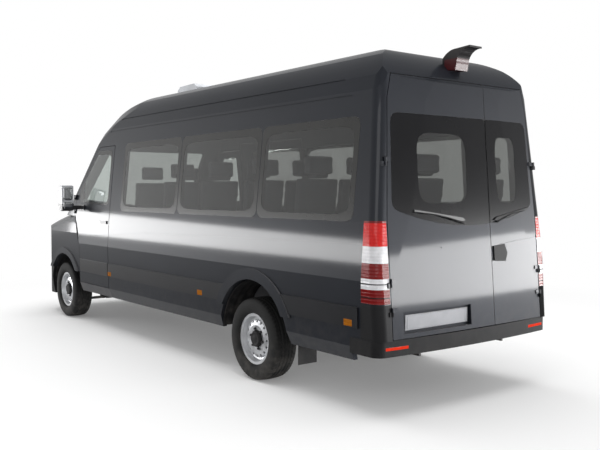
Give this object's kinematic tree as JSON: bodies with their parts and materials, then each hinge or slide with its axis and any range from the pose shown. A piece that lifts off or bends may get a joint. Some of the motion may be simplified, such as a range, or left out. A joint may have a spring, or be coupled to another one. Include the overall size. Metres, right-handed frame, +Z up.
{
  "type": "minibus",
  "caption": "Long high-roof minibus with dark metallic body, glazed side bands, hinged front, rear and bonnet panels, passenger seats inside and steered, rolling wheels",
  "frame": {"origin": "middle of the footprint on the ground", "axes": "+X forward, +Y to the vehicle's left, +Z up"},
  "size_m": [6.9448, 2.426, 2.853],
  "materials": {
    "body_paint": "gloss metallic",
    "glass": "polished, lightly tinted",
    "black_plastic": "grained",
    "roof_vent_white": "smooth",
    "lamp_clear": "clear",
    "lamp_red": "ribbed",
    "seat_cloth": "woven",
    "dark_steel": "satin",
    "cast_engine": "rough",
    "tyre": "matte",
    "rim_steel": "silver satin"
  },
  "bodies": {
    "vehicle": {"brake_lamp_pod": "black_plastic", "bulkhead": "body_paint", "dashboard": "black_plastic", "drive_line": "dark_steel", "engine_block": "cast_engine", "exhaust": "dark_steel", "floor_pan": "body_paint", "front_bumper": "black_plastic", "front_panel": "body_paint", "front_suspension": "dark_steel", "front_wing_left": "body_paint", "front_wing_right": "body_paint", "front_wipers": "black_plastic", "fuel_tank": "black_plastic", "grille": "black_plastic", "headlamps": "lamp_clear", "leaf_springs": "dark_steel", "mud_flaps": "black_plastic", "rear_axle": "dark_steel", "rear_bumper": "black_plastic", "roof_panel": "body_paint", "roof_vent": "roof_vent_white", "screen_frame": "body_paint", "seat_frames": "dark_steel", "seat_pads": "seat_cloth", "side_glass_left": "glass", "side_glass_right": "glass", "side_mouldings": "black_plastic", "side_panel_left": "body_paint", "side_panel_right": "body_paint", "sliding_door": "body_paint", "spare_wheel": "tyre", "tail_and_marker_lamps": "lamp_red", "underbody_rails": "dark_steel", "windscreen": "glass"},
    "front_door_left": {"front_door_left": "body_paint", "front_door_glass_left": "glass", "door_fittings_left": "black_plastic"},
    "front_door_right": {"front_door_right": "body_paint", "front_door_glass_right": "glass", "door_fittings_right": "black_plastic"},
    "rear_door_left": {"rear_door_left": "body_paint", "rear_door_glass_left": "glass", "rear_fittings_left": "black_plastic"},
    "rear_door_right": {"rear_door_right": "body_paint", "rear_door_glass_right": "glass", "rear_fittings_right": "black_plastic"},
    "bonnet": {"bonnet": "body_paint"},
    "steering_wheel": {"steering_wheel": "black_plastic"},
    "knuckle_left": {"knuckle_left": "dark_steel"},
    "knuckle_right": {"knuckle_right": "dark_steel"},
    "wheel_front_left": {"rim_front_left": "rim_steel", "tyre_front_left": "tyre"},
    "wheel_front_right": {"rim_front_right": "rim_steel", "tyre_front_right": "tyre"},
    "wheel_rear_left": {"rim_rear_left": "rim_steel", "tyre_rear_left": "tyre"},
    "wheel_rear_right": {"rim_rear_right": "rim_steel", "tyre_rear_right": "tyre"}
  },
  "joints": [
    {"name": "steer_left", "type": "hinge", "parent": "vehicle", "child": "knuckle_left", "pos_m": [2.4685, 0.772, 0.356], "axis": [0, 0, 1], "range_deg": [-35, 35]},
    {"name": "steer_right", "type": "hinge", "parent": "vehicle", "child": "knuckle_right", "pos_m": [2.4685, -0.772, 0.356], "axis": [0, 0, 1], "range_deg": [-35, 35]},
    {"name": "front_left_spin", "type": "hinge", "parent": "knuckle_left", "child": "wheel_front_left", "pos_m": [2.4685, 0.855, 0.356], "axis": [0, 1, 0], "continuous": true},
    {"name": "front_right_spin", "type": "hinge", "parent": "knuckle_right", "child": "wheel_front_right", "pos_m": [2.4685, -0.855, 0.356], "axis": [0, 1, 0], "continuous": true},
    {"name": "rear_left_spin", "type": "hinge", "parent": "vehicle", "child": "wheel_rear_left", "pos_m": [-1.8565, 0.855, 0.356], "axis": [0, 1, 0], "continuous": true},
    {"name": "rear_right_spin", "type": "hinge", "parent": "vehicle", "child": "wheel_rear_right", "pos_m": [-1.8565, -0.855, 0.356], "axis": [0, 1, 0], "continuous": true},
    {"name": "steering_turn", "type": "hinge", "parent": "vehicle", "child": "steering_wheel", "pos_m": [1.6, 0.43, 1.33], "axis": [-0.6428, 0, 0.766], "range_deg": [-560, 560]},
    {"name": "front_door_left_open", "type": "hinge", "parent": "vehicle", "child": "front_door_left", "pos_m": [2.123, 0.97, 1.35], "axis": [0, 0, -1], "range_deg": [0, 70]},
    {"name": "front_door_right_open", "type": "hinge", "parent": "vehicle", "child": "front_door_right", "pos_m": [2.123, -0.97, 1.35], "axis": [0, 0, 1], "range_deg": [0, 70]},
    {"name": "rear_door_left_open", "type": "hinge", "parent": "vehicle", "child": "rear_door_left", "pos_m": [-3.4087, 0.855, 1.262], "axis": [-0.0776, 0, -0.997], "range_deg": [0, 180]},
    {"name": "rear_door_right_open", "type": "hinge", "parent": "vehicle", "child": "rear_door_right", "pos_m": [-3.4087, -0.855, 1.262], "axis": [0.0776, 0, 0.997], "range_deg": [0, 180]},
    {"name": "bonnet_open", "type": "hinge", "parent": "vehicle", "child": "bonnet", "pos_m": [2.622, 0, 1.3], "axis": [0, -1, 0], "range_deg": [0, 55]}
  ],
  "couplings": [
    {"joint": "steer_right", "follows": "steer_left", "ratio": 1},
    {"joint": "steering_turn", "follows": "steer_left", "ratio": 16}
  ]
}
